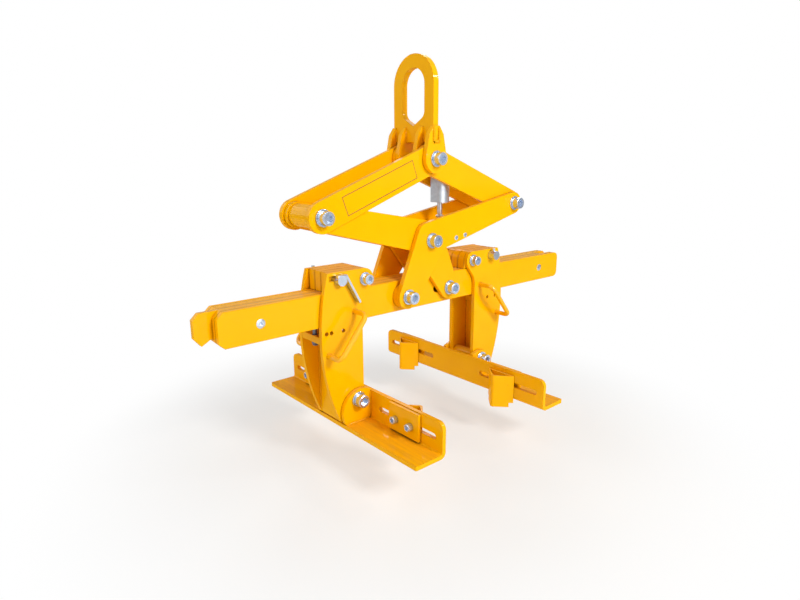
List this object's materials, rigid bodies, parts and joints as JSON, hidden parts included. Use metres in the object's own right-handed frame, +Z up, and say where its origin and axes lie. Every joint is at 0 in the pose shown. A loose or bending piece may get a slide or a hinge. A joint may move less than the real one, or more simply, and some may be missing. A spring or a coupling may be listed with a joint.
{
  "type": "block lifter",
  "caption": "Scissor-type paving block lifter: a slotted eye, folding arms and levers that draw sliding beams together, and rack-set jaws with hinged pads and sliding feet.",
  "frame": {"origin": "crown of the lifting eye's slot, where the lifter hangs", "axes": "+X along the beams to the right, -Y the front, +Z up"},
  "size_m": [1.158, 0.6, 0.869],
  "materials": {
    "yellow_enamel": "gloss",
    "zinc_plate": "satin"
  },
  "bodies": {
    "lifting_head": {"eye_plate": "yellow_enamel", "head_lugs": "yellow_enamel", "top_bolt": "zinc_plate"},
    "left_arms": {"left_arm_front": "yellow_enamel", "left_arm_rear": "yellow_enamel", "left_tube": "yellow_enamel", "left_bolt": "zinc_plate"},
    "right_arms": {"right_arm_front": "yellow_enamel", "right_arm_rear": "yellow_enamel", "latch_carrier": "yellow_enamel", "latch_body": "zinc_plate"},
    "latch_rod": {"latch_rod": "zinc_plate"},
    "left_levers": {"left_lever_front": "yellow_enamel", "left_lever_rear": "yellow_enamel", "lower_right_bolt": "zinc_plate"},
    "right_levers": {"right_lever_front": "yellow_enamel", "right_lever_rear": "yellow_enamel", "right_tube": "yellow_enamel", "right_bolt": "zinc_plate", "middle_tube": "yellow_enamel", "middle_bolt": "zinc_plate", "lower_left_bolt": "zinc_plate", "lower_left_rings": "yellow_enamel", "latch_catch": "yellow_enamel"},
    "left_beam": {"left_beam_face_bar": "yellow_enamel", "left_beam_filler_bar": "yellow_enamel", "left_beam_rack_bar": "yellow_enamel"},
    "right_beam": {"right_beam_face_bar": "yellow_enamel", "right_beam_filler_bar": "yellow_enamel", "right_beam_rack_bar": "yellow_enamel"},
    "left_jaw": {"left_jaw_cheeks": "yellow_enamel", "left_jaw_blocks": "yellow_enamel", "left_jaw_web": "yellow_enamel", "left_jaw_handles": "yellow_enamel", "left_jaw_bolt": "zinc_plate", "left_plunger_body": "zinc_plate"},
    "left_lock": {"left_lock_cam": "zinc_plate"},
    "left_plunger": {"left_plunger_pin": "zinc_plate"},
    "left_pad": {"left_pad_angle": "yellow_enamel", "left_pad_lugs": "yellow_enamel", "left_pad_bolt": "zinc_plate"},
    "left_front_grip": {"left_front_foot": "yellow_enamel", "left_front_clamp": "yellow_enamel"},
    "left_rear_grip": {"left_rear_foot": "yellow_enamel", "left_rear_clamp": "yellow_enamel"},
    "right_jaw": {"right_jaw_cheeks": "yellow_enamel", "right_jaw_blocks": "yellow_enamel", "right_jaw_web": "yellow_enamel", "right_jaw_handles": "yellow_enamel", "right_jaw_bolt": "zinc_plate", "right_plunger_body": "zinc_plate"},
    "right_lock": {"right_lock_cam": "zinc_plate"},
    "right_plunger": {"right_plunger_pin": "zinc_plate"},
    "right_pad": {"right_pad_angle": "yellow_enamel", "right_pad_lugs": "yellow_enamel", "right_pad_bolt": "zinc_plate"},
    "right_front_grip": {"right_front_foot": "yellow_enamel", "right_front_clamp": "yellow_enamel"},
    "right_rear_grip": {"right_rear_foot": "yellow_enamel", "right_rear_clamp": "yellow_enamel"}
  },
  "joints": [
    {"name": "arm_fold", "type": "hinge", "parent": "lifting_head", "child": "left_arms", "pos_m": [0, 0, -0.208], "axis": [0, -1, 0], "range_deg": [-4.5, 4.5]},
    {"name": "right_arm_fold", "type": "hinge", "parent": "lifting_head", "child": "right_arms", "pos_m": [0, 0, -0.208], "axis": [0, 1, 0], "range_deg": [-4.52, 4.52]},
    {"name": "left_lever_fold", "type": "hinge", "parent": "left_arms", "child": "left_levers", "pos_m": [-0.313, 0, -0.3265], "axis": [0, 1, 0], "range_deg": [-11.58, 11.58]},
    {"name": "right_lever_fold", "type": "hinge", "parent": "right_arms", "child": "right_levers", "pos_m": [0.313, 0, -0.3265], "axis": [0, -1, 0], "range_deg": [-11.58, 11.58]},
    {"name": "right_beam_level", "type": "hinge", "parent": "left_levers", "child": "right_beam", "pos_m": [0.076, 0, -0.532], "axis": [0, -1, 0], "range_deg": [-7.08, 7.08]},
    {"name": "left_beam_level", "type": "hinge", "parent": "right_levers", "child": "left_beam", "pos_m": [-0.076, 0, -0.532], "axis": [0, 1, 0], "range_deg": [-7.08, 7.08]},
    {"name": "latch_press", "type": "slide", "parent": "right_arms", "child": "latch_rod", "axis": [0, 0, 1], "range_m": [0, 0.025], "stiffness_N_per_m": 200, "springref_m": -0.02},
    {"name": "left_jaw_slide", "type": "slide", "parent": "left_beam", "child": "left_jaw", "axis": [1, 0, 0], "range_m": [-0.2, 0.04]},
    {"name": "right_jaw_slide", "type": "slide", "parent": "right_beam", "child": "right_jaw", "axis": [1, 0, 0], "range_m": [-0.04, 0.2]},
    {"name": "left_pad_tilt", "type": "hinge", "parent": "left_jaw", "child": "left_pad", "pos_m": [-0.23, 0, -0.754], "axis": [0, 1, 0], "range_deg": [-8, 8]},
    {"name": "right_pad_tilt", "type": "hinge", "parent": "right_jaw", "child": "right_pad", "pos_m": [0.2, 0, -0.754], "axis": [0, -1, 0], "range_deg": [-8, 8]},
    {"name": "left_lock_turn", "type": "hinge", "parent": "left_jaw", "child": "left_lock", "pos_m": [-0.269, 0, -0.465], "axis": [0, 1, 0], "range_deg": [0, 35]},
    {"name": "right_lock_turn", "type": "hinge", "parent": "right_jaw", "child": "right_lock", "pos_m": [0.239, 0, -0.465], "axis": [0, -1, 0], "range_deg": [0, 35]},
    {"name": "left_plunger_pull", "type": "slide", "parent": "left_jaw", "child": "left_plunger", "axis": [0, 0, -1], "range_m": [0, 0.014], "stiffness_N_per_m": 400, "springref_m": -0.015},
    {"name": "right_plunger_pull", "type": "slide", "parent": "right_jaw", "child": "right_plunger", "axis": [0, 0, -1], "range_m": [0, 0.014], "stiffness_N_per_m": 400, "springref_m": -0.015},
    {"name": "left_front_grip_slide", "type": "slide", "parent": "left_pad", "child": "left_front_grip", "axis": [0, 1, 0], "range_m": [-0.063, 0.061]},
    {"name": "left_rear_grip_slide", "type": "slide", "parent": "left_pad", "child": "left_rear_grip", "axis": [0, 1, 0], "range_m": [-0.057, 0.067]},
    {"name": "right_front_grip_slide", "type": "slide", "parent": "right_pad", "child": "right_front_grip", "axis": [0, 1, 0], "range_m": [-0.079, 0.045]},
    {"name": "right_rear_grip_slide", "type": "slide", "parent": "right_pad", "child": "right_rear_grip", "axis": [0, 1, 0], "range_m": [-0.074, 0.05]}
  ],
  "couplings": [
    {"joint": "right_arm_fold", "follows": "arm_fold", "ratio": 1},
    {"joint": "left_lever_fold", "follows": "arm_fold", "ratio": 2.5695},
    {"joint": "right_lever_fold", "follows": "arm_fold", "ratio": 2.5695},
    {"joint": "right_beam_level", "follows": "arm_fold", "ratio": 1.5695},
    {"joint": "left_beam_level", "follows": "arm_fold", "ratio": 1.5695}
  ]
}
